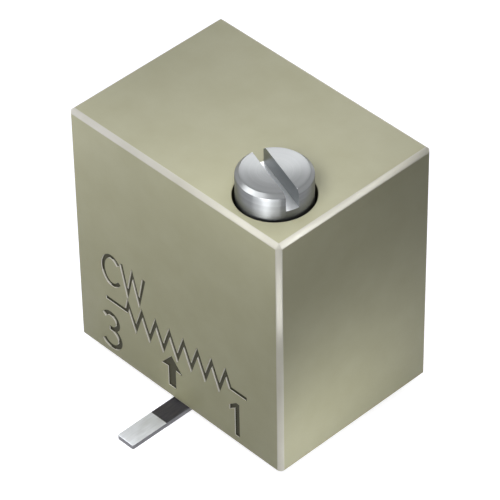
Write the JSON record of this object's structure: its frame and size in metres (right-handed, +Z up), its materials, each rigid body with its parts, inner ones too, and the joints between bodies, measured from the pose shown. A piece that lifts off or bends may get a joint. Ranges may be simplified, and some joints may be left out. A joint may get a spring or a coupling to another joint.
{
  "type": "trimmer potentiometer",
  "caption": "Square surface-mount trimmer potentiometer whose slotted top screw drives a toothed rotor and spring contact over a printed track, standing on flat bent leads.",
  "frame": {"origin": "on the board plane, under the middle of the body; the undersides of the three leads lie at z = 0", "axes": "+Z up from the board, along the adjustment screw; -Y towards the marked front face and the middle lead's foot; +X to the right seen from the front"},
  "size_m": [0.0064, 0.0076, 0.0073],
  "materials": {
    "body_plastic": "satin moulded olive-beige thermoplastic",
    "screw_metal": "turned and polished",
    "seal_rubber": "plain black rubber",
    "clip_metal": "stamped spring bronze",
    "rotor_plastic": "natural moulded",
    "spring_metal": "stamped spring alloy",
    "ceramic": "fired white ceramic",
    "track_film": "fired dark film",
    "metal_film": "fired silver film",
    "lead_metal": "tinned copper alloy, satin",
    "solder": "reflowed solder",
    "resin": "cured potting resin"
  },
  "bodies": {
    "body": {"housing": "body_plastic", "retaining_clip": "clip_metal", "element_plate": "ceramic", "resistive_track": "track_film", "collector_ring": "metal_film", "end_conductor_1": "metal_film", "end_conductor_3": "metal_film", "terminal_1": "lead_metal", "terminal_2": "lead_metal", "terminal_3": "lead_metal", "solder_joint_1": "solder", "solder_joint_2": "solder", "solder_joint_3": "solder", "resin_seal": "resin"},
    "screw": {"adjustment_screw": "screw_metal", "seal_ring": "seal_rubber"},
    "rotor": {"rotor_gear": "rotor_plastic", "wiper_contact": "spring_metal"}
  },
  "joints": [
    {"name": "screw_turn", "type": "hinge", "parent": "body", "child": "screw", "pos_m": [0.00192, -0.00112, 0.0034], "axis": [0, 0, 1], "range_deg": [-2160, 2160]},
    {"name": "rotor_turn", "type": "hinge", "parent": "body", "child": "rotor", "pos_m": [-0.00063, -0.00112, 0.0034], "axis": [0, 1, 0], "range_deg": [-135, 135]}
  ],
  "couplings": [
    {"joint": "rotor_turn", "follows": "screw_turn", "ratio": 0.0625}
  ]
}
